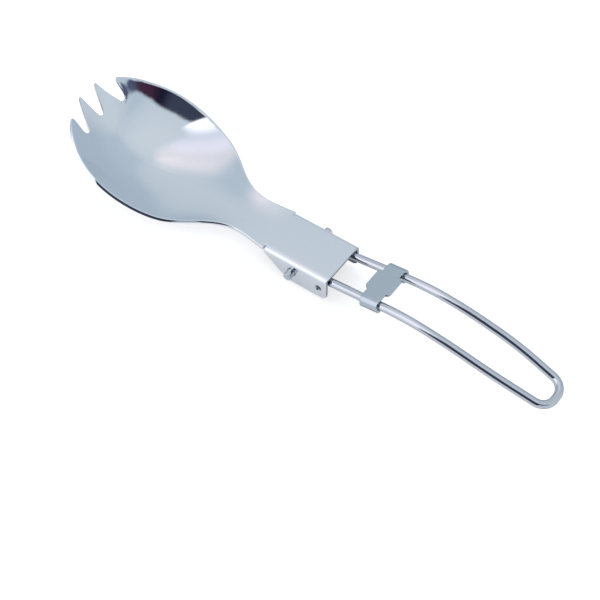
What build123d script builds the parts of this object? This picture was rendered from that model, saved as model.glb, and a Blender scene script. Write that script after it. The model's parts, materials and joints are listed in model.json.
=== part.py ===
from build123d import *
import math
import os

# A folding camping spork in stainless steel, in millimetres.
# It is drawn with the flat top of its shank level: X runs from the shank's tail end to the
# handle's loop, Y across, Z up. It is laid down last, as it rests on a table.

# Sheet metal head
sheet = 0.9
bowl_width = 41.0
head_length = 89.1
tip_rise = 15.4
belly_drop = 2.9
wall_fullness = 1.88
blank_margin = 2.5

# Channel shank
shank_width = 16.0
flange_height = 7.8
flange_length = 21.0
flange_full_length = 13.0
inner_bend_radius = 0.6
corner_radius = 1.7
relief_length = 1.0
relief_depth = 1.4

# Tines, their spacing in shares of half the bowl's width
outer_tip_share = 0.495
inner_tip_share = 0.161
outer_root_share = 0.402
outer_tip_back = 2.7
outer_root_back = 8.6
middle_root_back = 7.0
tine_tip_radius = 0.7
tine_root_radius = 1.1

# Detent dimples in the flanges
dimple_diameter = 2.2
dimple_depth = 0.35
bump_diameter = 1.8
bump_clearance = 0.1
dimple_inset = 2.6
dimple_drop = 4.2

# Bent wire handle
wire_diameter = 2.4
pivot_inset = 11.6
pivot_drop = 3.75
pivot_clearance = 0.08
stub_length = 2.2
end_bend_radius = 1.6
leg_side_gap = 0.6
leg_top_gap = 0.16
handle_reach = 67.8
first_reach_share = 0.354
second_reach_share = 0.5457
third_reach_share = 0.767
second_bend_drop = 0.3
third_bend_drop = 3.1
tail_drop = 7.4
first_bend_spread = 0.78
second_bend_spread = 0.88
third_bend_spread = 0.8
tail_pinch = 0.75

# How much of the shorter run beside it each bend of the handle takes up, from the first to the tail
bend_shares = [0.478, 0.457, 0.435, 0.430]

# Slide clip
clip_sheet = 0.8
clip_clearance = 0.2
clip_rest = 13.6
clip_hook_length = 5.5
clip_tongue_length = 7.8
clip_tongue_width = 7.0
clip_corner = 1.0
clip_lip = 0.5

# Stations from the end of the flanges to just past the tines: place, half width, height of the
# underside at the outline, and depth. Shares of the length between the flanges and the tips, of
# half the bowl's width, of tip rise and of belly drop.
head_stations_shares = [
    (0.000, 0.385, 0.000, 0.000),
    (0.075, 0.357, 0.014, 0.020),
    (0.165, 0.354, 0.035, 0.150),
    (0.268, 0.488, 0.048, 0.420),
    (0.400, 0.795, 0.095, 0.790),
    (0.534, 0.956, 0.232, 1.000),
    (0.667, 1.000, 0.417, 0.780),
    (0.771, 0.946, 0.572, -0.180),
    (0.860, 0.815, 0.719, -1.850),
    (0.933, 0.605, 0.862, -4.500),
    (1.015, 0.490, 1.165, -9.100),
]
# Height of the ground rim, as shares of the same length and of tip rise.
rim_shares = [
    (-0.050, 0.300),
    (0.136, 0.162),
    (0.254, 0.095),
    (0.341, 0.065),
    (0.400, 0.058),
    (0.534, 0.195),
    (0.667, 0.380),
    (0.771, 0.535),
    (0.860, 0.682),
    (0.933, 0.834),
    (1.053, 1.320),
]
section_steps = 12

wire_radius = wire_diameter / 2
bowl_half = bowl_width / 2
shank_half = shank_width / 2
channel_half = shank_half - sheet
bend_radius = inner_bend_radius + sheet
first_bend_reach = handle_reach * first_reach_share
second_bend_reach = handle_reach * second_reach_share
third_bend_reach = handle_reach * third_reach_share
overrun = sheet

# The legs lie just inside the flanges, and rise to pass just under the shank's end.
pivot_leg_half = channel_half - leg_side_gap - wire_radius
leg_rise = pivot_drop - sheet - leg_top_gap - wire_radius
leg_rise_angle = math.degrees(math.atan2(leg_rise, pivot_inset))


# Place along the dished part, from a share of its length.
def dishedPlace(share):
    return -flange_length - (head_length - flange_length) * share


def stationRow(row):
    reach, width, edge, depth = row
    floor = -sheet - (belly_drop - sheet) * depth
    return (dishedPlace(reach), bowl_half * width, tip_rise * edge - sheet, floor)


head_stations = [stationRow(row) for row in head_stations_shares]
last_station = len(head_stations) - 1
rim_points = [(dishedPlace(reach), tip_rise * height) for reach, height in rim_shares]


# Height of the bowl's underside at a station, a distance y from the middle.
def undersideHeight(station, y):
    x, width, edge, floor = station
    return floor + (edge - floor) * (abs(y) / width) ** wall_fullness


# The sheet stands thicker in height where it slopes.
def sheetHeight(index, y):
    x, width, edge, floor = head_stations[index]
    across = wall_fullness * (edge - floor) / width * (abs(y) / width) ** (wall_fullness - 1)
    if index == 0:
        return sheet
    front = head_stations[min(index + 1, last_station)]
    back = head_stations[index - 1]
    along = (undersideHeight(front, y) - undersideHeight(back, y)) / (front[0] - back[0])
    return sheet * math.hypot(1, along, across)


# One cross section of the dished sheet, wider than the finished bowl.
def headSection(index):
    station = head_stations[index]
    x = station[0]
    half = station[1] + blank_margin
    knots = [step / section_steps for step in range(section_steps + 1)]
    places = [half * (2 * knot - 1) for knot in knots]
    lower = [(x, y, undersideHeight(station, y)) for y in places]
    upper = [(x, y, undersideHeight(station, y) + sheetHeight(index, y)) for y in places]
    edges = [
        Edge.make_spline(lower, parameters=knots),
        Edge.make_line(lower[-1], upper[-1]),
        Edge.make_spline(list(reversed(upper)), parameters=knots),
        Edge.make_line(upper[0], lower[0]),
    ]
    return Wire(edges)


def nearestVertices(face, points):
    return [face.vertices().sort_by_distance(point)[0] for point in points]


# Plan of the head: neck, bowl and the four tines with three notches.
def headPlan():
    relief_front = -flange_length - relief_length
    relief_floor = shank_half - relief_depth
    neck_half = head_stations[0][1]
    outer_tip = (outer_tip_back - head_length, bowl_half * outer_tip_share)
    outer_root = (outer_root_back - head_length, bowl_half * outer_root_share)
    inner_tip = (-head_length, bowl_half * inner_tip_share)
    middle_root = (middle_root_back - head_length, 0)
    side = [(relief_front, neck_half)]
    side += [(station[0], station[1]) for station in head_stations[1:-2]]
    side += [outer_tip]
    near = [(x, -y) for x, y in side]
    tips = [outer_tip, inner_tip]
    roots = [outer_root, middle_root]
    teeth = [outer_tip, outer_root, inner_tip, middle_root]
    teeth += [(x, -y) for x, y in (inner_tip, outer_root, outer_tip)]
    neck = [(relief_front, neck_half), (relief_front, relief_floor), (-flange_length, relief_floor)]
    neck += [(x, -y) for x, y in reversed(neck)]
    plan = make_face([Spline(*side), Polyline(*teeth), Spline(*near), Polyline(*neck)])
    tips += [(x, -y) for x, y in tips]
    roots += [(x, -y) for x, y in roots[:1]]
    plan = fillet(nearestVertices(plan, roots), tine_root_radius)
    return fillet(nearestVertices(plan, tips), tine_tip_radius)


# Everything below the ground rim, seen from the side.
def belowRim():
    low = -belly_drop - blank_margin
    top = Spline(*rim_points)
    rest = Polyline(rim_points[-1], (rim_points[-1][0], low), (rim_points[0][0], low), rim_points[0])
    side = Plane.XZ * make_face([top, rest])
    return extrude(side, bowl_half + 2 * blank_margin, both=True)


def dishedSheet():
    blank = Solid.make_loft([headSection(index) for index in range(last_station + 1)])
    plan = extrude(headPlan(), 2 * tip_rise, both=True)
    return blank & plan & belowRim()


# Channel section: flat top, two bends and two flanges, open below.
def channelBar():
    outer = Pos(0, -flange_height / 2) * Rectangle(shank_width, flange_height)
    outer = fillet(outer.vertices().group_by(Axis.Y)[-1], bend_radius)
    inner = Pos(0, -sheet - flange_height / 2) * Rectangle(2 * channel_half, flange_height)
    inner = fillet(inner.vertices().group_by(Axis.Y)[-1], inner_bend_radius)
    section = Plane.YZ.offset(-flange_length) * (outer - inner)
    return extrude(section, flange_length)


# Side view of what stays of the flanges: tapered at the neck and rounded at the tail end.
def flangeSide():
    taper = -flange_full_length
    points = [
        (-flange_length - overrun, overrun),
        (-flange_length - overrun, -bend_radius),
        (-flange_length, -bend_radius),
        (taper, -flange_height),
        (0, -flange_height),
        (0, overrun),
    ]
    side = make_face(Polyline(*points, close=True))
    side = fillet(nearestVertices(side, [(taper, -flange_height)]), bend_radius + corner_radius)
    side = fillet(nearestVertices(side, [(0, -flange_height)]), corner_radius)
    return extrude(Plane.XZ * side, shank_width, both=True)


# Height of the straight part of the legs above the shank's top, and half their spacing.
def legHeight(x):
    return -pivot_drop + (x + pivot_inset) * math.tan(math.radians(leg_rise_angle))


def legHalf(x):
    return pivot_leg_half + first_bend_spread * (x + pivot_inset) / (first_bend_reach + pivot_inset)


def capRadius(diameter, height):
    half = diameter / 2
    return (half * half + height * height) / (2 * height)


# A dimple is pressed into each flange from outside. Inside, it stands just clear of the leg.
def pressDimples(body):
    crest = legHalf(-dimple_inset) + wire_radius + bump_clearance
    recess_radius = capRadius(dimple_diameter, dimple_depth)
    crest_radius = capRadius(bump_diameter, channel_half - crest)
    seat = (channel_half + shank_half - dimple_depth) / 2
    for side in (-1, 1):
        middle = Pos(-dimple_inset, 0, -dimple_drop)
        recess = Pos(0, side * (shank_half - dimple_depth + recess_radius)) * Sphere(recess_radius)
        bump = Pos(0, side * (crest + crest_radius)) * Sphere(crest_radius)
        slab = Pos(0, side * (crest + seat) / 2) * Box(2 * bump_diameter, seat - crest, 2 * bump_diameter)
        body = body - middle * recess + middle * (bump & slab)
    return body


def sporkHead():
    channel = channelBar() & flangeSide()
    hole = Cylinder(wire_radius + pivot_clearance, 2 * shank_width, rotation=(90, 0, 0))
    channel -= Pos(-pivot_inset, 0, -pivot_drop) * hole
    channel = pressDimples(channel)
    return dishedSheet() + channel


# Radius of the bend at the middle one of three points, from the share of the shorter run it takes up.
def bendRadius(before, corner, after, share):
    arriving = Vector(*corner) - Vector(*before)
    leaving = Vector(*after) - Vector(*corner)
    turn = math.radians(arriving.get_angle(leaving))
    return share * min(arriving.length, leaving.length) / math.tan(turn / 2)


# One wire: a stub out through the flange, a leg, the loop, and the same back.
def wireHandle():
    side = [
        (-pivot_inset, shank_half + stub_length, -pivot_drop),
        (-pivot_inset, pivot_leg_half, -pivot_drop),
        (first_bend_reach, legHalf(first_bend_reach), legHeight(first_bend_reach)),
        (second_bend_reach, pivot_leg_half + second_bend_spread, -second_bend_drop),
        (third_bend_reach, pivot_leg_half + third_bend_spread, -third_bend_drop),
        (handle_reach, pivot_leg_half - tail_pinch, -tail_drop),
    ]
    points = side + [(x, -y, z) for x, y, z in reversed(side)]
    radii = [end_bend_radius]
    radii += [bendRadius(*points[i + 1 : i + 4], share) for i, share in enumerate(bend_shares)]
    print("bend radii", [round(radius, 2) for radius in radii])
    path = FilletPolyline(*points, radius=radii + radii[::-1])
    start = Plane(origin=side[0], z_dir=(0, -1, 0))
    return sweep(start * Circle(wire_radius), path=path)


# A plate over both legs, with a curled hook round the outside of each.
def slideClip():
    half = legHalf(clip_rest)
    inner_radius = wire_radius + clip_clearance
    outer_radius = inner_radius + clip_sheet
    outer = SlotCenterToCenter(2 * half, 2 * outer_radius)
    inner = SlotCenterToCenter(2 * half, 2 * inner_radius)
    mouth_width = 2 * (half - clip_lip)
    mouth = Pos(0, -outer_radius) * Rectangle(mouth_width, 2 * outer_radius)
    section = Plane.YZ * (outer - inner - mouth)
    band = extrude(section, clip_hook_length / 2, both=True)
    tongue = Rectangle(clip_tongue_length, clip_tongue_width)
    tongue = fillet(tongue.vertices(), clip_corner)
    plate = extrude(Pos(0, 0, inner_radius) * tongue, clip_sheet)
    clip = band + plate
    return Pos(clip_rest, 0, legHeight(clip_rest)) * Rot(0, -leg_rise_angle, 0) * clip


# The spork lies on its belly and on the flanges or the loop, whichever is met first.
def lieAngle():
    belly = min(head_stations, key=lambda station: station[3])
    props = [(-flange_full_length, -flange_height), (handle_reach, -tail_drop - wire_radius)]
    return max(math.degrees(math.atan2(belly[3] - z, x - belly[0])) for x, z in props)


def layDown(pieces):
    lie = lieAngle()
    tipped = {name: Rot(0, -lie, 0) * piece for name, piece in pieces.items()}
    boxes = [piece.bounding_box() for piece in tipped.values()]
    box = boxes[0]
    for other in boxes[1:]:
        box = box.add(other)
    centre = box.center()
    shift = Pos(-centre.X, -centre.Y, -box.min.Z)
    place = shift * Rot(0, -lie, 0)
    pivot = place * Pos(-pivot_inset, 0, -pivot_drop)
    rest = place * Pos(clip_rest, 0, legHeight(clip_rest))
    print("pivot", pivot.position, "clip", rest.position, "lie", lie, "leg", leg_rise_angle + lie)
    print("box", box.size)
    return {name: shift * piece for name, piece in tipped.items()}


def main():
    os.makedirs("parts", exist_ok=True)
    pieces = {
        "spork_head": sporkHead(),
        "wire_handle": wireHandle(),
        "slide_clip": slideClip(),
    }
    for name, piece in layDown(pieces).items():
        solid = piece.solid()
        solid.label = name
        print(name, "solids", len(piece.solids()), "volume", solid.volume, "valid", solid.is_valid)
        export_step(solid, "parts/" + name + ".step")


main()
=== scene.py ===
import bpy
import json
import math
import numpy as np
from mathutils import Matrix, Vector
from mathutils.geometry import delaunay_2d_cdt


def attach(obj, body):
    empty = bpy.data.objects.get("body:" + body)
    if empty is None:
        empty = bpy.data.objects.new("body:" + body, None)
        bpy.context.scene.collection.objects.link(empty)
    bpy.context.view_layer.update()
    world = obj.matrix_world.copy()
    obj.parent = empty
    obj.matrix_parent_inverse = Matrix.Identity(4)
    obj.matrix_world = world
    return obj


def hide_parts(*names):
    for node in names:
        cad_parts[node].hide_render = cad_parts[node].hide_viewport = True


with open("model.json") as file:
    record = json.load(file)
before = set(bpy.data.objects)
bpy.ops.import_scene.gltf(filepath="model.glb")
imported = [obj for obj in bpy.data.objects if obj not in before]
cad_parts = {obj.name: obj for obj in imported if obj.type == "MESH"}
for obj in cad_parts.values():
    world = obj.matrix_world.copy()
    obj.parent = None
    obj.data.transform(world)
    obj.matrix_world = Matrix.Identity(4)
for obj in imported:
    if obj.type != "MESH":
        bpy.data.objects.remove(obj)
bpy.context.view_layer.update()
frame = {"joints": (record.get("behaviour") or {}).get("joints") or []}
joints = {joint["name"]: joint for joint in frame["joints"]}

# A folding camping spork. Sizes are in millimetres, with the flat top of the shank level:
# x runs from the shank's tail end towards the handle's loop, y across, z up.
# toFrame tips each finished piece down to the way it lies, and moves it to the frame's own place.
perMetre = 1000
pivotSizes = {
    "inset": 11.6,  # from the shank's tail end
    "drop": 3.75,  # below the shank's top
    "legRise": 1.49,  # how far the legs climb from the pivot to the shank's end
}


# Angle between the legs and the shank's top.
def legSlope():
    return math.atan2(pivotSizes["legRise"], pivotSizes["inset"])


# Angle between the shank's top and the table: the legs' angle in the frame less their own slope.
def lieAngle():
    alongLegs = joints["clip_slide"]["axis"]
    return math.atan2(alongLegs[2], alongLegs[0]) - legSlope()


# Points turned round the pivot by the lie angle, and moved so that the pivot is at the joint.
def toFrame(points):
    lie = lieAngle()
    pivot = np.array(joints["handle_fold"]["pos_m"])
    x = points[:, 0] + pivotSizes["inset"]
    z = points[:, 2] + pivotSizes["drop"]
    laidX = math.cos(lie) * x - math.sin(lie) * z
    laidZ = math.sin(lie) * x + math.cos(lie) * z
    return np.stack([laidX, points[:, 1], laidZ], axis=1) / perMetre + pivot


# The cubic curve through the knots. Its second differences are continuous at the inner knots, and
# each end either has the slope that is given or carries on the curve of its neighbour.
def smoothCurve(knots, values, at, startSlope=None):
    knots, values, at = (np.asarray(part, float) for part in (knots, values, at))
    gaps = np.diff(knots)
    slopes = np.diff(values) / gaps
    count = len(knots)
    system, right = np.zeros((count, count)), np.zeros(count)
    inner = np.arange(1, count - 1)
    system[inner, inner - 1] = gaps[:-1]
    system[inner, inner] = 2 * (gaps[:-1] + gaps[1:])
    system[inner, inner + 1] = gaps[1:]
    right[inner] = 6 * np.diff(slopes)
    system[0, :3] = gaps[1], -gaps[0] - gaps[1], gaps[0]
    if startSlope is not None:
        system[0, :3] = 2 * gaps[0], gaps[0], 0
        right[0] = 6 * (slopes[0] - startSlope)
    system[-1, -3:] = gaps[-1], -gaps[-1] - gaps[-2], gaps[-2]
    bends = np.linalg.solve(system, right)
    span = np.clip(np.searchsorted(knots, at) - 1, 0, count - 2)
    left, gap = at - knots[span], gaps[span]
    first = slopes[span] - gap * (2 * bends[span] + bends[span + 1]) / 6
    third = (bends[span + 1] - bends[span]) / (6 * gap)
    return values[span] + left * (first + left * (bends[span] / 2 + left * third))


# Rises evenly from 0, where the fade starts, to 1 at the end of its span.
def ramp(value, fadeRange):
    start, span = fadeRange
    return np.clip((value - start) / span, 0, 1)


# Points on the outlines of the sheets.
outlineSizes = {
    "arcs": 0.12,  # their spacing on arcs
    "runs": 0.3,  # and on the runs between
    "arcSteps": 6,  # the fewest on an arc
    "leastStretch": 0.4,  # keeps a parallel curve from shooting out at a sharp corner
}


# A line whose corners become arcs. A corner with no radius stays.
def roundedCorners(corners, radii, spacing):
    corners = np.asarray(corners, float)
    points = []
    for index, (corner, radius) in enumerate(zip(corners, radii)):
        if radius == 0:
            points.append(corner[None])
            continue
        before, after = corners[index - 1] - corner, corners[(index + 1) % len(corners)] - corner
        before, after = before / np.linalg.norm(before), after / np.linalg.norm(after)
        half = math.acos(np.clip(before @ after, -1, 1)) / 2
        inward = (before + after) / np.linalg.norm(before + after)
        middle = corner + inward * radius / math.sin(half)
        start = corner + before * radius / math.tan(half) - middle
        end = corner + after * radius / math.tan(half) - middle
        turn = math.pi - 2 * half
        steps = max(outlineSizes["arcSteps"], round(turn * radius / spacing))
        share = np.linspace(0, 1, steps + 1)[:, None]
        arc = (np.sin((1 - share) * turn) * start + np.sin(share * turn) * end) / math.sin(turn)
        points.append(middle + arc)
    return np.concatenate(points)


# The same line with points added on its longer runs.
def evenRuns(line, spacing, closed=False):
    ends = np.roll(line, -1, axis=0) if closed else line[1:]
    runs = []
    for start, end in zip(line, ends):
        steps = max(1, math.ceil(np.linalg.norm(end - start) / spacing - 1e-6))
        runs.append(start + (end - start) * (np.arange(steps) / steps)[:, None])
    return np.concatenate(runs if closed else runs + [line[-1:]])


# The closed outline of a sheet, from its corners and their radii.
def closedOutline(corners, radii):
    rounded = roundedCorners(corners, radii, outlineSizes["arcs"])
    return evenRuns(rounded, outlineSizes["runs"], closed=True)


# A loop moved to its left by a distance, as a parallel curve is.
def insetLoop(loop, distance):
    ahead = np.roll(loop, -1, axis=0) - loop
    ahead /= np.linalg.norm(ahead, axis=1)[:, None]
    behind = np.roll(ahead, 1, axis=0)
    along = ahead + behind
    along /= np.linalg.norm(along, axis=1)[:, None]
    stretch = np.maximum((along * ahead).sum(axis=1), outlineSizes["leastStretch"])[:, None]
    return loop + distance * np.stack([-along[:, 1], along[:, 0]], axis=1) / stretch


# A point is inside if a line from it towards +x crosses the loop an odd number of times.
def insideLoop(points, loop, atOnce=2000):
    after = np.roll(loop, -1, axis=0)
    rise = np.where(after[:, 1] == loop[:, 1], 1, after[:, 1] - loop[:, 1])
    found = []
    for part in np.array_split(points, max(1, len(points) // atOnce)):
        x, y = part[:, :1], part[:, 1:]
        spans = (loop[:, 1] > y) != (after[:, 1] > y)
        crossing = loop[:, 0] + (y - loop[:, 1]) / rise * (after[:, 0] - loop[:, 0])
        found.append((spans & (x < crossing)).sum(axis=1) % 2 == 1)
    return np.concatenate(found)


# Triangles between the first loop and the holes, all facing up. fromInput gives the place that
# each point of the loops has in the cut blank.
def cutBlank(loops, fill):
    edges, start = [], 0
    for loop in loops:
        order = np.arange(start, start + len(loop))
        edges += list(zip(order.tolist(), np.roll(order, -1).tolist()))
        start += len(loop)
    flat = np.concatenate(loops + [fill])
    cut = delaunay_2d_cdt([Vector(point) for point in flat], edges, [], 1, 1e-6, True)
    blank, faces = np.array([point[:] for point in cut[0]]), np.array(cut[2])
    middles = blank[faces].mean(axis=1)
    keep = insideLoop(middles, loops[0])
    for hole in loops[1:]:
        keep &= ~insideLoop(middles, hole)
    faces = faces[keep]
    a, b, c = (blank[faces[:, corner]] for corner in range(3))
    clockwise = (b - a)[:, 0] * (c - a)[:, 1] < (b - a)[:, 1] * (c - a)[:, 0]
    faces[clockwise] = faces[clockwise][:, ::-1]
    fromInput = {source: index for index, sources in enumerate(cut[3]) for source in sources}
    return blank, faces, fromInput


# Rings down a sheet's edge, as distances out from the skins' loop and shares of the thickness:
# a quarter round at the upper side, the wall, and a quarter round at the lower side.
def edgeRings(sheet, edge):
    angles = np.linspace(0, math.pi / 2, edge["steps"] + 1)
    upper, lower = edge["round"], edge["lowerRound"]
    outs = [upper * np.sin(angles), upper - lower * (1 - np.sin(angles[::-1]))]
    upperDepths = upper * (1 - np.cos(angles)) / sheet
    lowerDepths = 1 - lower * (1 - np.cos(angles[::-1])) / sheet
    return np.concatenate(outs)[1:], np.concatenate([upperDepths, lowerDepths])[1:]


# A formed sheet. The blank is an outline with holes, filled with points and cut into triangles.
# form carries a blank point (x, s) at a depth, from 0 on the upper skin to 1 on the lower one,
# to its place in space. The skins are joined by the rings round every edge.
def formedSheet(name, outline, holes, fill, form, sizes):
    sources = [outline] + holes
    edge = sizes["edge"]
    loops = [insetLoop(source, edge["round"]) for source in sources]
    blank, faces, fromInput = cutBlank(loops, fill)
    count = len(blank)
    places, sinks = [blank, blank], [np.zeros(count), np.ones(count)]
    outs, depths = edgeRings(sizes["sheet"], edge)
    walls, start, first = [], 2 * count, 0
    for source in sources:
        size = len(source)
        top = np.array([fromInput[first + index] for index in range(size)])
        rings = [top]
        for out, depth in zip(outs, depths):
            places.append(insetLoop(source, edge["round"] - out))
            sinks.append(np.full(size, depth))
            rings.append(np.arange(start, start + size))
            start += size
        rings.append(top + count)
        for upper, lower in zip(rings, rings[1:]):
            nextUpper, nextLower = np.roll(upper, -1), np.roll(lower, -1)
            walls.append(np.stack([upper, lower, nextLower], axis=1))
            walls.append(np.stack([upper, nextLower, nextUpper], axis=1))
        first += size
    triangles = np.concatenate([faces, faces[:, ::-1] + count] + walls)
    places, sinks = np.concatenate(places), np.concatenate(sinks)
    piece = meshPiece(name, toFrame(form(places, sinks)), triangles.tolist())
    return piece, places, sinks


# Shaded smooth, except where two faces turn by more than the sharp angle, in degrees.
def meshPiece(name, points, faces, sharpAngle=28):
    mesh = bpy.data.meshes.new(name)
    mesh.from_pydata(points.tolist(), [], faces)
    mesh.validate()
    mesh.shade_smooth()
    mesh.set_sharp_from_angle(angle=math.radians(sharpAngle))
    piece = bpy.data.objects.new(name, mesh)
    bpy.context.scene.collection.objects.link(piece)
    return piece


# How much painted shade and dullness the steel has at each point: 0 is polished, 1 is painted dark
# as shade and matt, as inside a fold.
def setPaintedShadeAndDull(piece, values):
    paintedShadeAndDull = piece.data.attributes.new("paintedShadeAndDull", "FLOAT", "POINT")
    paintedShadeAndDull.data.foreach_set("value", np.asarray(values, float))


underSkin = 0.97  # points deeper in a sheet than this share are on its lower skin

# Head: one sheet, dished into the bowl and folded into the channel of the shank.
headSizes = {
    "sheet": 0.9,
    "bowlWidth": 41.0,
    "length": 89.1,
    "tipRise": 15.27,  # of the tips over the shank's top
    "bellyDrop": 2.9,  # of the belly under it
    "fullness": 1.80,  # the power of the bowl's section
    "frontEase": 0.15,  # how much lower the power is at the front
    "tipThinning": 0.16,
    "rimLean": 1.9,  # how the rim's edge leans in: 0 stands upright, 1 is square to the sheet
    # where each of these three starts and the span over which it grows, as shares along the dished
    # part or, for the rim, out from the middle
    "frontFade": (0.55, 0.45),
    "tipFade": (0.9, 0.1),
    "rimFade": (0.6, 0.3),
    "shankWidth": 16.0,
    "flangeHeight": 7.8,
    "flangeLength": 21.0,
    "flangeFull": 13.0,  # how long it keeps its full height
    "bendRadius": 1.5,
    "cornerRadius": 1.7,
    "taperRadius": 3.2,
    "reliefLength": 0.25,
    "reliefDepth": 1.4,
    "outerTip": (2.7, 0.495),  # back from the tips in millimetres, out as a share of half the bowl
    "outerRoot": (8.6, 0.402),
    "innerTip": (0.0, 0.161),
    "middleRoot": (7.0, 0.0),
    "tipRadius": 0.7,
    "rootRadius": 1.1,
    "holeRadius": 1.28,
    "dimpleInset": 2.6,
    "dimpleDrop": 4.2,
    "dimpleRadius": 1.1,
    "dimpleDepth": 0.45,
    "edge": {"round": 0.24, "lowerRound": 0.09, "steps": 4},
    # spacing of the points in the bowl, their number along or across each other part, and the gaps
    # that they keep to the slits, the tail end, the outline and the holes
    "grid": {
        "bowl": 0.45,
        "side": 220,
        "sideEnd": 3,  # where these end, in tip radii before the outer tip
        "flat": 9,
        "bend": 11,
        "flange": 14,
        "shank": 44,
        "hole": 56,
        "slitGap": 0.02,
        "tailGap": 0.3,
        "outlineGap": 0.22,
        "holeGap": 0.25,
        "dimpleSides": 28,
        "dimpleRings": (0.08, 1.08, 11),  # first and last as shares of its radius, and how many
        "dimpleClear": 1.15,  # the other points keep out of this share of its radius
    },
    # Painted shade and dullness: how dark and matt the steel is made on the channel's inner skin
    # and on the tail end's cut edge, where shade falls.
    "paintedShadeAndDull": {
        "inside": 0.85,  # the channel's inner skin
        "cut": 0.55,  # the tail end's cut edge
        "cutDepths": (0.15, 0.95),
        "cutLength": 1,  # from the tail end
    },
}
# Place along the dished part, half width, height of the outline and depth of the middle, as shares
# of its length, half the bowl's width, the tips' rise and the belly's drop.
bowlShares = np.array([
    (0.000, 0.385, 0.000, 0.000),
    (0.075, 0.357, 0.014, 0.020),
    (0.165, 0.354, 0.035, 0.150),
    (0.268, 0.488, 0.048, 0.420),
    (0.400, 0.795, 0.095, 0.790),
    (0.534, 0.956, 0.232, 1.000),
    (0.667, 1.000, 0.417, 0.780),
    (0.771, 0.946, 0.572, -0.180),
    (0.860, 0.815, 0.719, -1.850),
    (0.933, 0.605, 0.862, -4.500),
    (1.015, 0.490, 1.165, -9.100),
])


# Share of the dished part's length, from the relief slits to the tips.
def dishedShare(x):
    return (-headSizes["flangeLength"] - x) / (headSizes["length"] - headSizes["flangeLength"])


# The place along x of such a share.
def dishedPlace(share):
    return -headSizes["flangeLength"] - (headSizes["length"] - headSizes["flangeLength"]) * share


# The smooth curve through one column of the table, at a share of the length.
def bowlCurve(column, share, startSlope=None):
    share = np.clip(share, 0, bowlShares[-1, 0])
    return smoothCurve(bowlShares[:, 0], bowlShares[:, column], share, startSlope)


# Half width of the bowl, as if there were no notches between the tines.
def bowlHalf(x):
    return headSizes["bowlWidth"] / 2 * bowlCurve(1, dishedShare(x))


# Underside of the bowl: the middle's height plus a power of the distance from the middle.
def underside(x, y):
    share, sheet = dishedShare(x), headSizes["sheet"]
    edge = headSizes["tipRise"] * bowlCurve(2, share, 0) - sheet
    drop = (headSizes["bellyDrop"] - sheet) * bowlCurve(3, share, 0)
    floor = -sheet - drop
    fullness = headSizes["fullness"] - headSizes["frontEase"] * ramp(share, headSizes["frontFade"])
    return floor + (edge - floor) * (np.abs(y) / bowlHalf(x)) ** fullness


# Its slopes, from the difference over a short step to both sides.
def undersideSlopes(x, y, step=0.01):
    along = (underside(x + step, y) - underside(x - step, y)) / (2 * step)
    across = (underside(x, y + step) - underside(x, y - step)) / (2 * step)
    return along, across


# Length over the outside of the section, from the middle to where the flange starts.
def flangeStart():
    bend = headSizes["bendRadius"]
    return headSizes["shankWidth"] / 2 - bend + bend * math.pi / 2


# Blank length of a place on the flange, from its height below the shank's top.
def flangeReach(drop):
    return flangeStart() + drop - headSizes["bendRadius"]


# Depth of the dimple: 1 less the cube of the distance, to the power 1.5, with its radius as 1.
def dimpleHollow(x, s):
    radius, depth = headSizes["dimpleRadius"], headSizes["dimpleDepth"]
    across = s - flangeReach(headSizes["dimpleDrop"])
    away = np.minimum(np.hypot(x + headSizes["dimpleInset"], across) / radius, 1)
    return depth * (1 - away**3) ** 1.5


# The shank is flat, turns down on an arc, and ends in an upright flange with its dimple. The bowl
# is its underside raised by the sheet's thickness, and near the rim that also leans inwards.
def formHead(blank, depth):
    x, s = blank[:, 0], blank[:, 1]
    side, reach = np.sign(s), np.abs(s)
    sheet, bend = headSizes["sheet"], headSizes["bendRadius"]
    flat = headSizes["shankWidth"] / 2 - bend
    turn = np.clip((reach - flat) / bend, 0, math.pi / 2)
    radius = bend - sheet * depth
    down = np.maximum(reach - flangeStart(), 0)
    y = np.where(reach < flat, reach, flat + radius * np.sin(turn))
    y -= dimpleHollow(x, reach) * (down > 0)
    shank = np.stack([x, side * y, radius * np.cos(turn) - bend - down], axis=1)
    along, across = undersideSlopes(x, s)
    nearRim = ramp(reach / bowlHalf(x), headSizes["rimFade"])
    lean = -headSizes["rimLean"] * across * nearRim**2 * (3 - 2 * nearRim)
    thin = 1 - headSizes["tipThinning"] * ramp(dishedShare(x), headSizes["tipFade"]) ** 2
    thickness = thin * sheet * np.sqrt(1 + along**2 + across**2) / (1 - lean * across)
    rise = thickness * (1 - depth)
    bowl = np.stack([x, s + lean * rise, underside(x, s) + rise], axis=1)
    folded = x > -headSizes["flangeLength"] - headSizes["reliefLength"] / 2
    return np.where(folded[:, None], shank, bowl)


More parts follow.
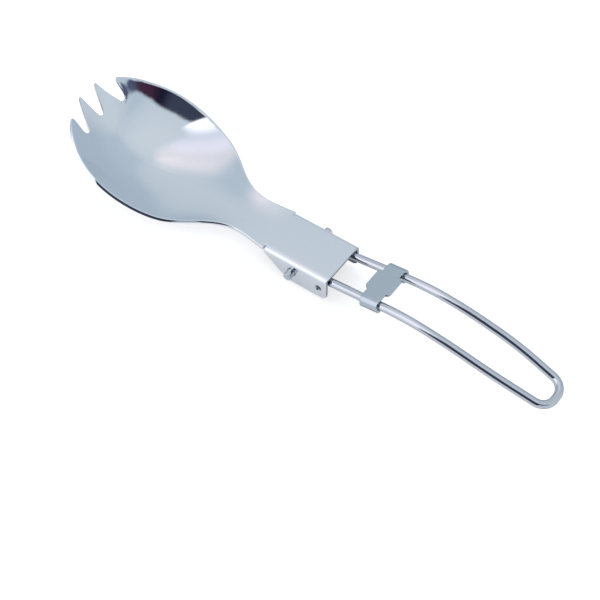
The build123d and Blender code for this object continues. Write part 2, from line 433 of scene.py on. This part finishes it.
# Half of the blank's outline, from the flange's tail corner round the slit, the neck and the bowl's
# side to the notch in the middle, and then its mirror image.
def headOutline():
    half, grid = headSizes["bowlWidth"] / 2, headSizes["grid"]
    flangeLength, shankHalf = headSizes["flangeLength"], headSizes["shankWidth"] / 2
    bottom = flangeReach(headSizes["flangeHeight"])
    reliefFront = -flangeLength - headSizes["reliefLength"]
    reliefFloor = shankHalf - headSizes["reliefDepth"]
    neck = (reliefFront, half * bowlShares[0, 1])
    widths = [(dishedPlace(row[0]), half * row[1]) for row in bowlShares[1:-2]]
    teeth = [headSizes[name] for name in ("outerTip", "outerRoot", "innerTip", "middleRoot")]
    teeth = [(back - headSizes["length"], half * share) for back, share in teeth]
    tip, root = headSizes["tipRadius"], headSizes["rootRadius"]
    knots = np.array([neck] + widths + teeth[:1])
    chords = np.append(0, np.cumsum(np.linalg.norm(np.diff(knots, axis=0), axis=1)))
    along = np.linspace(0, chords[-1] - grid["sideEnd"] * tip, grid["side"])
    side = np.stack([smoothCurve(chords, knots[:, axis], along) for axis in (0, 1)], axis=1)
    corners = [
        (0, bottom),
        (-headSizes["flangeFull"], bottom),
        (-flangeLength, flangeStart()),
        (-flangeLength, reliefFloor),
        (reliefFront, reliefFloor),
    ]
    radii = [headSizes["cornerRadius"], headSizes["taperRadius"], 0, 0, 0] + [0] * len(side)
    radii = np.array(radii + [tip, root, tip, root])
    corners = np.concatenate([corners, side, teeth])
    corners = np.concatenate([corners, corners[-2::-1] * (1, -1)])
    return closedOutline(corners, np.append(radii, radii[-2::-1]))


# A clockwise loop.
def circle(middle, radius, count):
    turn = -np.linspace(0, 2 * math.pi, count, endpoint=False)
    return np.asarray(middle) + radius * np.stack([np.cos(turn), np.sin(turn)], axis=1)


# Every pair of a number of the first list and one of the second, as points.
def pairs(first, second):
    return np.stack(np.meshgrid(first, second, indexing="ij"), axis=-1).reshape(-1, 2)


# Points inside the blank: a square grid in the bowl, lines along the shank that lie closer in its
# bends, and rings in each dimple.
def headFill(outline, holes):
    grid, length = headSizes["grid"], headSizes["flangeLength"]
    half, flat = headSizes["bowlWidth"] / 2, headSizes["shankWidth"] / 2 - headSizes["bendRadius"]
    step = grid["bowl"]
    across = np.arange(-math.ceil(half / step), math.ceil(half / step) + 1) * step
    bowl = pairs(np.arange(-headSizes["length"], -length - step / 2, step), across)
    top = np.linspace(0, flat, grid["flat"])[:-1]
    bend = np.linspace(flat, flangeStart(), grid["bend"])
    bottom = flangeReach(headSizes["flangeHeight"])
    flange = np.linspace(flangeStart(), bottom, grid["flange"])[1:]
    lines = np.concatenate([top, bend, flange])
    lines = np.concatenate([-lines[:0:-1], lines])
    along = np.linspace(-length + grid["slitGap"], -grid["tailGap"], grid["shank"])
    shank = pairs(along, lines)
    radius = headSizes["dimpleRadius"]
    for side in (-1, 1):
        middle = (-headSizes["dimpleInset"], side * flangeReach(headSizes["dimpleDrop"]))
        away = np.linalg.norm(shank - middle, axis=1)
        rings = [
            circle(middle, radius * share, grid["dimpleSides"])
            for share in np.linspace(*grid["dimpleRings"])
        ]
        shank = np.concatenate([shank[away > grid["dimpleClear"] * radius]] + rings)
    points = np.concatenate([bowl, shank])
    points = points[insideLoop(points, insetLoop(outline, grid["outlineGap"]))]
    for hole in holes:
        points = points[~insideLoop(points, insetLoop(hole, grid["holeGap"]))]
    return points


# The steel is painted dark as shade, and made matt, inside the channel and at its cut end, and in
# the dimples as the root of their depth.
def makeHead():
    outline, paintedShadeAndDull = headOutline(), headSizes["paintedShadeAndDull"]
    holeReach = flangeReach(pivotSizes["drop"])
    holes = [
        circle(
            (-pivotSizes["inset"], side * holeReach),
            headSizes["holeRadius"],
            headSizes["grid"]["hole"],
        )
        for side in (-1, 1)
    ]
    fill = headFill(outline, holes)
    head, places, sinks = formedSheet("head", outline, holes, fill, formHead, headSizes)
    x, reach = places[:, 0], np.abs(places[:, 1])
    # Painted shade: the channel's inner skin, the tail end's cut edge and the dimples are darkened
    # as if in shade.
    inside = (sinks > underSkin) & (x > -headSizes["flangeLength"])
    shallow, deep = paintedShadeAndDull["cutDepths"]
    cut = (sinks > shallow) & (sinks < deep) & (x > -paintedShadeAndDull["cutLength"])
    hollow = dimpleHollow(x, reach) / headSizes["dimpleDepth"] * (reach > flangeStart())
    paintedFoldShade = np.maximum(paintedShadeAndDull["inside"] * inside, paintedShadeAndDull["cut"] * cut)
    setPaintedShadeAndDull(head, np.maximum(paintedFoldShade, hollow**0.5))
    print("head:", len(head.data.vertices), "points,", len(head.data.polygons), "faces")
    return head


head = makeHead()
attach(head, "head")
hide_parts("spork_head")

# Handle: one wire, with a stub out through each flange, two legs, and a loop at the tail.
handleSizes = {
    "wireRadius": 1.197,
    "legHalf": 5.3,  # half the spacing of the legs at the pivot
    "stubEnd": 10.2,
    "endRadius": 1.6,
    # place, half spacing, height and radius of each bend from the pivot to the tail
    "bends": [
        (24.0, 6.08, 0.82, 57.96),
        (37.0, 6.18, -0.30, 120.16),
        (52.0, 6.10, -3.10, 110.03),
        (67.8, 4.55, -7.40, 4.30),
    ],
    "endRound": 0.2,
    "endSteps": 5,
    "endRings": (0.35, 0.75),  # on the flat end, as shares of the wire's radius
    "step": 0.35,
    "sides": 56,
}


# Half the spacing of the legs, which grows evenly from the pivot to the first bend.
def legHalf(x):
    reach, spread = handleSizes["bends"][0][:2]
    share = (x + pivotSizes["inset"]) / (reach + pivotSizes["inset"])
    return handleSizes["legHalf"] + (spread - handleSizes["legHalf"]) * share


# Height of the legs' middle line, which climbs evenly from the pivot.
def legHeight(x):
    climb = (x + pivotSizes["inset"]) * pivotSizes["legRise"] / pivotSizes["inset"]
    return -pivotSizes["drop"] + climb


# The wire's middle line: one side through its bends from stub to tail, and its mirror image.
def handleLine():
    x, z = -pivotSizes["inset"], -pivotSizes["drop"]
    stub = (x, handleSizes["stubEnd"], z, 0)
    leg = (x, handleSizes["legHalf"], z, handleSizes["endRadius"])
    side = np.array([stub, leg] + handleSizes["bends"])
    both = np.concatenate([side, side[::-1] * (1, -1, 1, 1)])
    rounded = roundedCorners(both[:, :3], both[:, 3], handleSizes["step"])
    return evenRuns(rounded, handleSizes["step"])


# Middle, direction and radius of each ring along the wire. Each end closes on a flat disc, whose
# edge is a quarter round.
def handleRings(line):
    ahead = np.gradient(line, axis=0)
    ahead /= np.linalg.norm(ahead, axis=1)[:, None]
    radius, rounding = handleSizes["wireRadius"], handleSizes["endRound"]
    angles = np.linspace(0, math.pi / 2, handleSizes["endSteps"] + 1)[:-1]
    flat = np.array(handleSizes["endRings"]) * radius
    capRadii = np.concatenate([flat, radius - rounding + rounding * np.sin(angles)])
    capBack = np.concatenate([0 * flat, rounding * (1 - np.cos(angles))])[:, None]
    start, end = line[0] + ahead[0] * capBack, (line[-1] - ahead[-1] * capBack)[::-1]
    keep = np.linalg.norm(line - line[0], axis=1) > rounding
    keep &= np.linalg.norm(line - line[-1], axis=1) > rounding
    cap = (len(capRadii), 1)
    centres = np.concatenate([start, line[keep], end])
    ways = np.concatenate([np.tile(ahead[0], cap), ahead[keep], np.tile(ahead[-1], cap)])
    radii = np.concatenate([capRadii, np.full(keep.sum(), radius), capRadii[::-1]])
    return centres, ways, radii


# A tube along the line. Each ring is square to the line, with one side of it as high as it can be.
def makeHandle():
    line = handleLine()
    centres, ways, radii = handleRings(line)
    count, sides = len(centres), handleSizes["sides"]
    upward = np.array([0, 0, 1.0]) - ways[:, 2:] * ways
    upward /= np.linalg.norm(upward, axis=1)[:, None]
    sideward = np.cross(ways, upward)
    turn = np.linspace(0, 2 * math.pi, sides, endpoint=False)
    rings = (
        centres[:, None]
        + radii[:, None, None] * np.cos(turn)[None, :, None] * upward[:, None]
        + radii[:, None, None] * np.sin(turn)[None, :, None] * sideward[:, None]
    )
    points = np.concatenate([rings.reshape(-1, 3), line[:1], line[-1:]])
    ring, place = np.meshgrid(np.arange(count - 1), np.arange(sides), indexing="ij")
    a, b = ring * sides + place, ring * sides + (place + 1) % sides
    quads = np.stack([a, a + sides, b + sides, b], axis=-1).reshape(-1, 4)
    place = np.arange(sides)
    after = (place + 1) % sides
    middle, lastRing = np.full(sides, count * sides), (count - 1) * sides
    first = np.stack([place, after, middle], axis=1)
    last = np.stack([after + lastRing, place + lastRing, middle + 1], axis=1)
    faces = quads.tolist() + first.tolist() + last.tolist()
    handle = meshPiece("handle", toFrame(points), faces)
    setPaintedShadeAndDull(handle, np.zeros(len(points)))
    print("handle:", count, "rings of", sides)
    return handle


handle = makeHandle()
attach(handle, "handle")
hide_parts("wire_handle")

# Clip: a plate over both legs, with a tongue fore and aft and a hook curled round each leg.
clipSizes = {
    "sheet": 0.8,
    "clearance": 0.2,
    "rest": 13.6,
    "hookLength": 5.5,
    "tongueLength": 7.8,
    "tongueWidth": 7.0,
    "corner": 1.0,
    "hookCorner": 0.35,
    "innerCorner": 0.4,
    "lip": 0.5,
    "edge": {"round": 0.16, "lowerRound": 0.10, "steps": 3},
    # spacing of the points, and the gap that they keep to the outline
    "gridAlong": 0.3,
    "gridAcross": 0.22,
    "gridGap": 0.25,
    # painted shade and dullness on the clip's underside
    "paintedShadeAndDull": 0.8,  # its underside
}


# Radius of the outside of a hook.
def hookRadius():
    return handleSizes["wireRadius"] + clipSizes["clearance"] + clipSizes["sheet"]


# Flat between the legs, then half a turn round each leg, then a short lip back in. The whole is
# tipped as the legs are.
def formClip(blank, depth):
    x, reach = blank[:, 0], np.abs(blank[:, 1])
    half = legHalf(clipSizes["rest"])
    turn = np.clip((reach - half) / hookRadius(), 0, math.pi)
    radius = hookRadius() - clipSizes["sheet"] * depth
    past = np.maximum(reach - half - hookRadius() * math.pi, 0)
    y = np.sign(blank[:, 1]) * (np.minimum(reach, half) + radius * np.sin(turn) - past)
    z = radius * np.cos(turn)
    slope, place = legSlope(), clipSizes["rest"]
    along = place + x * math.cos(slope) - z * math.sin(slope)
    up = legHeight(place) + x * math.sin(slope) + z * math.cos(slope)
    return np.stack([along, y, up], axis=1)


# The blank is a cross: the strip of the two hooks, with a tongue at each side of its middle.
def makeClip():
    hook, tongue = clipSizes["hookLength"] / 2, clipSizes["tongueLength"] / 2
    width = clipSizes["tongueWidth"] / 2
    reach = legHalf(clipSizes["rest"]) + hookRadius() * math.pi + clipSizes["lip"]
    side = np.array([
        (hook, reach, clipSizes["hookCorner"]),
        (-hook, reach, clipSizes["hookCorner"]),
        (-hook, width, clipSizes["innerCorner"]),
        (-tongue, width, clipSizes["corner"]),
    ])
    corners = [side, side[::-1] * (1, -1, 1), side[2:] * (-1, -1, 1), side[:1:-1] * (-1, 1, 1)]
    corners = np.concatenate(corners)
    outline = closedOutline(corners[:, :2], corners[:, 2])
    stepAlong, stepAcross = clipSizes["gridAlong"], clipSizes["gridAcross"]
    along = np.arange(-tongue, tongue, stepAlong) + stepAlong / 2
    across = np.arange(-reach, reach, stepAcross) + stepAcross / 2
    fill = pairs(along, across)
    fill = fill[insideLoop(fill, insetLoop(outline, clipSizes["gridGap"]))]
    clip, places, sinks = formedSheet("clip", outline, [], fill, formClip, clipSizes)
    # Painted shade: the clip's underside is darkened as if in shade.
    setPaintedShadeAndDull(clip, clipSizes["paintedShadeAndDull"] * (sinks > underSkin))
    print("clip:", len(clip.data.vertices), "points,", len(clip.data.polygons), "faces")
    return clip


clip = makeClip()
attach(clip, "clip")
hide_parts("slide_clip")


# A socket takes another node's output as a link, and anything else as its own value.
def connect(node, socket, source):
    if isinstance(source, bpy.types.NodeSocket):
        node.id_data.links.new(source, node.inputs[socket])
    else:
        node.inputs[socket].default_value = source


def calculate(nodes, operation, *sources):
    node = nodes.new("ShaderNodeMath")
    node.operation = operation
    for index, source in enumerate(sources):
        connect(node, index, source)
    return node.outputs[0]


# How far a direction goes along a way: their dot product.
def along(nodes, direction, way):
    node = nodes.new("ShaderNodeVectorMath")
    node.operation = "DOT_PRODUCT"
    connect(node, 0, direction)
    connect(node, 1, way)
    return node.outputs["Value"]


# Runs smoothly from 0 at the start to 1 at the end.
def fade(nodes, value, start, end):
    node = nodes.new("ShaderNodeMapRange")
    node.interpolation_type = "SMOOTHSTEP"
    for socket, source in (("Value", value), ("From Min", start), ("From Max", end)):
        connect(node, socket, source)
    return node.outputs["Result"]


# A colour between two others, or the first with a share of the second added.
def blend(nodes, share, first, second, blending="MIX"):
    node = nodes.new("ShaderNodeMix")
    node.data_type = "RGBA"
    node.blend_type = blending
    for socket, source in (("Factor", share), ("A", first), ("B", second)):
        if isinstance(source, tuple):
            source = source + (1,)
        connect(node, socket, source)
    return node.outputs["Result"]


# Noise on the object's own coordinates. Three numbers as its scale stretch it, and the turn that
# follows them sets one pattern apart from another.
def noise(nodes, coordinates, scale, detail, turn=0):
    if isinstance(scale, tuple):
        stretch = nodes.new("ShaderNodeMapping")
        connect(stretch, "Vector", coordinates)
        connect(stretch, "Scale", scale)
        connect(stretch, "Rotation", (0, 0, turn))
        coordinates, scale = stretch.outputs["Vector"], 1
    node = nodes.new("ShaderNodeTexNoise")
    for socket, source in (("Vector", coordinates), ("Scale", scale), ("Detail", detail)):
        connect(node, socket, source)
    return node.outputs["Fac"]


# Finishes. Scratches and wear are what they add to the roughness, and bump is the strength of the
# grain.
steelFinish = {
    "head": {
        "colour": (0.72, 0.768, 0.816),
        "edgeTint": (0.88, 0.89, 0.90),
        "roughness": 0.035,
        "bump": 0.10,
        "scratches": 0.05,
        "wear": 0.10,
    },
    "handle": {
        "colour": (0.61, 0.64, 0.69),
        "edgeTint": (0.3, 0.32, 0.36),
        "roughness": 0.09,
        "bump": 0.12,
        "scratches": 0.08,
        "wear": 0.05,
    },
    "clip": {
        "colour": (0.49, 0.555, 0.615),
        "edgeTint": (0.5, 0.52, 0.56),
        "roughness": 0.14,
        "bump": 0.20,
        "scratches": 0.08,
        "wear": 0.15,
    },
}
# What the finishes share. Scales are per metre, so the lower number is the long way of a pattern.
steelPattern = {
    "grainScale": (900, 9000, 9000),
    "grainDetail": 3,
    "grainDepth": 0.00002,
    "toneSpread": (0.96, 1.04),  # as shares of the colour
    "cloudScale": 160,
    "cloudDetail": 4,
    "roughnessSpread": (0.7, 1.3),  # as shares of the roughness
    "scratchScale": (250, 6000, 6000),
    "scratchDetail": 2,
    "scratchTurn": 0.5,
    "scratchFade": (0.66, 0.74),  # only the noise's peaks are scratches
    "wearFade": (0.53, 0.62),  # how much a place stands out before it is worn
    # the colour of the painted shade, and the roughness of those places
    "paintedShadeColour": (0.09, 0.10, 0.12),
    "dullRoughness": 0.35,
}


# The grain varies the tone and bumps it, and soft clouds vary the roughness. Scratches, worn edges
# and places with painted shade are rougher, and those places are painted dark as shade too.
def steel(name, finish):
    material = bpy.data.materials.new(name)
    material.use_nodes = True
    nodes = material.node_tree.nodes
    pattern = steelPattern
    coordinates = nodes.new("ShaderNodeTexCoord").outputs["Object"]
    grain = noise(nodes, coordinates, pattern["grainScale"], pattern["grainDetail"])
    cloud = noise(nodes, coordinates, pattern["cloudScale"], pattern["cloudDetail"])
    turn = pattern["scratchTurn"]
    rub = noise(nodes, coordinates, pattern["scratchScale"], pattern["scratchDetail"], turn)
    edges = nodes.new("ShaderNodeNewGeometry").outputs["Pointiness"]
    paintedShadeAndDull = nodes.new("ShaderNodeAttribute")
    paintedShadeAndDull.attribute_name = "paintedShadeAndDull"

    clouded = nodes.new("ShaderNodeMapRange")
    least, most = (finish["roughness"] * share for share in pattern["roughnessSpread"])
    for socket, source in (("Value", cloud), ("To Min", least), ("To Max", most)):
        connect(clouded, socket, source)
    rougher = [
        (paintedShadeAndDull.outputs["Fac"], pattern["dullRoughness"]),
        (fade(nodes, rub, *pattern["scratchFade"]), finish["scratches"]),
        (fade(nodes, edges, *pattern["wearFade"]), finish["wear"]),
    ]
    roughness = clouded.outputs["Result"]
    for share, amount in rougher:
        roughness = calculate(nodes, "MULTIPLY_ADD", share, amount, roughness)

    tones = [tuple(share * part for part in finish["colour"]) for share in pattern["toneSpread"]]
    colour = blend(nodes, grain, *tones)
    # painted shade: the colour darkens where the attribute is high
    colour = blend(nodes, paintedShadeAndDull.outputs["Fac"], colour, pattern["paintedShadeColour"])
    bump = nodes.new("ShaderNodeBump")
    connect(bump, "Strength", finish["bump"])
    connect(bump, "Distance", pattern["grainDepth"])
    connect(bump, "Height", grain)
    shader = nodes["Principled BSDF"]
    connect(shader, "Metallic", 1)
    connect(shader, "Specular Tint", finish["edgeTint"] + (1,))
    connect(shader, "Base Color", colour)
    connect(shader, "Roughness", roughness)
    connect(shader, "Normal", bump.outputs["Normal"])
    return material


for piece, name in ((head, "head"), (handle, "handle"), (clip, "clip")):
    piece.data.materials.append(steel(name + "Steel", steelFinish[name]))
print("finishes: done")

# Studio: a pale floor in a pale tent. The tent is a little brighter and warmer overhead and has a
# soft lamp behind the left side. In front it is open, and the room behind the opening is dark.
studio = {
    "floor": 3.0,  # half its side, in metres
    "floorColour": (0.82, 0.805, 0.785),
    "floorRoughness": 0.9,
    "floorGloss": 0.1,
    "floorLift": 0.62,
    "floorShine": 0.50,  # how much of the lift is seen in reflections
    # sine of the elevation of a direction, and the tent's colour there
    "tent": [
        (-0.20, (0.508, 0.579, 0.656)),
        (0.20, (0.518, 0.594, 0.677)),
        (0.50, (0.559, 0.640, 0.725)),
        (0.71, (0.587, 0.663, 0.742)),
        (0.82, (0.666, 0.730, 0.795)),
        (0.91, (0.721, 0.775, 0.828)),
        (1.00, (0.769, 0.812, 0.852)),
    ],
    # azimuth from +y towards +x, elevation and spread in degrees, and the light that is added in
    # the middle
    "glows": [
        (-80, 64, 20, (0.260, 0.155, 0.135)),
        (-56, 57, 15, (0.140, 0.095, 0.085)),
        (-108, 65, 13, (0.080, 0.075, 0.130)),
        (-38, 36, 25, (0.125, 0.100, 0.067)),
        (68, 18, 42, (0.175, 0.150, 0.100)),
    ],
    # planes through the middle, each as the way up from it: the opening is below any of the tops,
    # above any of the bottoms and inside both sides
    "openingTops": [
        (-0.85, -0.42, 1),
        (-0.72, 0.20, 1),
        (-0.64, 0.66, 1),
        (-0.36, 1.40, 1),
        (-0.20, 1.73, 1),
        (0.15, 2.08, 1),
        (0.60, 2.13, 1),
    ],
    "openingBottoms": [(-3, -1.74, 1), (-0.5, 0.3, 1)],
    # each side is a way, and where along it the opening, or the lamp, starts and where it is full
    "openingSides": [((1, -0.2625, 0.075), -0.012, 0.012), ((-0.09, -1, 0), -0.02, 0.02)],
    "openingSoftness": 0.015,
    # tangent of the angle from straight in front towards +x, and the room's colour there
    "openingColours": [
        (0.30, (0.052, 0.061, 0.098)),
        (0.60, (0.015, 0.014, 0.033)),
        (1.30, (0.067, 0.025, 0.050)),
        (2.10, (0.067, 0.029, 0.058)),
        (3.20, (0.092, 0.108, 0.183)),
    ],
    "leastFront": 0.05,  # a direction counts as going this much to the front, for that tangent
    "lampSides": [
        ((-1, 0.2625, -0.075), -0.012, 0.012),
        ((0, -3.2, -1), -0.32, 0.12),
        ((0.423, -0.906, 0), -0.20, 0.25),
        ((0, 0, 1), 0.945, 0.915),
        ((0, 0, 1), -0.10, 0.05),
    ],
    "lampColour": (0.750, 0.650, 0.650),
}


# The direction that an azimuth and an elevation in degrees point to.
def heading(azimuth, elevation):
    azimuth, elevation = math.radians(azimuth), math.radians(elevation)
    flat = math.cos(elevation)
    return flat * math.sin(azimuth), flat * math.cos(azimuth), math.sin(elevation)


# A colour that runs smoothly from stop to stop.
def stops(nodes, value, table):
    colour = table[0][1]
    for (low, before), (high, after) in zip(table, table[1:]):
        colour = blend(nodes, fade(nodes, value, low, high), colour, after)
    return colour


# How much of a direction lies inside all the limits. Each is a way, and where along it the share
# starts and where it is full.
def between(nodes, direction, limits):
    share = 1.0
    for way, start, end in limits:
        inside = fade(nodes, along(nodes, direction, way), start, end)
        share = calculate(nodes, "MULTIPLY", share, inside)
    return share


# The least or the greatest height of a direction above some planes.
def outermost(nodes, direction, planes, operation):
    heights = [along(nodes, direction, plane) for plane in planes]
    limit = heights[0]
    for height in heights[1:]:
        limit = calculate(nodes, operation, limit, height)
    return limit


# The floor has a light of its own that only the camera and, in part, reflections see.
def makeFloor():
    size = studio["floor"]
    points = np.array([(-size, -size, 0), (size, -size, 0), (size, size, 0), (-size, size, 0)])
    floor = meshPiece("floor", points, [(0, 1, 2, 3)])
    material = bpy.data.materials.new("paleFloor")
    material.use_nodes = True
    nodes = material.node_tree.nodes
    rays = nodes.new("ShaderNodeLightPath").outputs
    mirrored = calculate(nodes, "MULTIPLY", rays["Is Glossy Ray"], studio["floorShine"])
    shown = calculate(nodes, "MAXIMUM", rays["Is Camera Ray"], mirrored)
    shader = nodes["Principled BSDF"]
    connect(shader, "Base Color", studio["floorColour"] + (1,))
    connect(shader, "Roughness", studio["floorRoughness"])
    connect(shader, "Specular IOR Level", studio["floorGloss"])
    connect(shader, "Emission Color", (1, 1, 1, 1))
    connect(shader, "Emission Strength", calculate(nodes, "MULTIPLY", shown, studio["floorLift"]))
    floor.data.materials.append(material)


# The tent by elevation, with the glows and the lamp added and the opening over them. What the
# camera itself sees of it is white.
def makeWorld():
    world = bpy.data.worlds.new("studio")
    bpy.context.scene.world = world
    world.use_nodes = True
    nodes = world.node_tree.nodes
    direction = nodes.new("ShaderNodeTexCoord").outputs["Generated"]
    colour = stops(nodes, along(nodes, direction, (0, 0, 1)), studio["tent"])
    for azimuth, elevation, spread, light in studio["glows"]:
        near = along(nodes, direction, heading(azimuth, elevation))
        near = fade(nodes, near, math.cos(math.radians(spread)), 1.0)
        colour = blend(nodes, near, colour, light, "ADD")
    lamp = between(nodes, direction, studio["lampSides"])
    colour = blend(nodes, lamp, colour, studio["lampColour"], "ADD")

    soft = studio["openingSoftness"]
    lowest = outermost(nodes, direction, studio["openingTops"], "MINIMUM")
    highest = outermost(nodes, direction, studio["openingBottoms"], "MAXIMUM")
    below, above = fade(nodes, lowest, soft, -soft), fade(nodes, highest, -soft, soft)
    opening = calculate(nodes, "MULTIPLY", below, above)
    sides = between(nodes, direction, studio["openingSides"])
    opening = calculate(nodes, "MULTIPLY", opening, sides)
    front = along(nodes, direction, (0, -1, 0))
    front = calculate(nodes, "MAXIMUM", front, studio["leastFront"])
    turned = calculate(nodes, "DIVIDE", along(nodes, direction, (1, 0, 0)), front)
    colour = blend(nodes, opening, colour, stops(nodes, turned, studio["openingColours"]))

    seen = nodes.new("ShaderNodeLightPath").outputs["Is Camera Ray"]
    connect(nodes["Background"], "Color", blend(nodes, seen, colour, (1.0, 1.0, 1.0)))


makeFloor()
makeWorld()
print("studio: done")

# Camera, fitted to the photograph. Its place is given in the shank's own axes, in millimetres, and
# its angles in degrees.
cameraSizes = {
    "elevation": 52.29,
    "azimuth": 36.23,
    "roll": 0.853,
    "lens": 108,
    "sensor": 36,
    "distance": 489.5,  # back from the shank's tail end
    "aside": (11.65, -9.78),  # how far that end lies right of the view's middle, and below it
}


# The camera's axes are carried to the frame as points one millimetre from its place.
def makeCamera():
    angles = [math.radians(cameraSizes[key]) for key in ("elevation", "azimuth", "roll")]
    elevation, azimuth, roll = angles
    level = np.array([math.cos(azimuth), math.sin(azimuth), 0])
    inward = np.array([-math.sin(azimuth), math.cos(azimuth), 0])
    upward = np.array([0, 0, 1.0])
    forward = inward * math.cos(elevation) - upward * math.sin(elevation)
    down = -(upward * math.cos(elevation) + inward * math.sin(elevation))
    right = level * math.cos(roll) + down * math.sin(roll)
    down = down * math.cos(roll) - level * math.sin(roll)
    aside, lower = cameraSizes["aside"]
    place = -forward * cameraSizes["distance"] - right * aside - down * lower
    spots = toFrame(np.array([place, place + right, place - down, place - forward]))
    matrix = np.eye(4)
    matrix[:3, :3] = ((spots[1:] - spots[0]) * perMetre).T
    matrix[:3, 3] = spots[0]
    camera = bpy.data.objects.new("camera", bpy.data.cameras.new("camera"))
    camera.matrix_world = Matrix(matrix.tolist())
    camera.data.lens = cameraSizes["lens"]
    camera.data.sensor_width = cameraSizes["sensor"]
    bpy.context.scene.collection.objects.link(camera)
    bpy.context.scene.camera = camera
    print("camera: done")


makeCamera()
bpy.context.scene.view_settings.view_transform = "Standard"
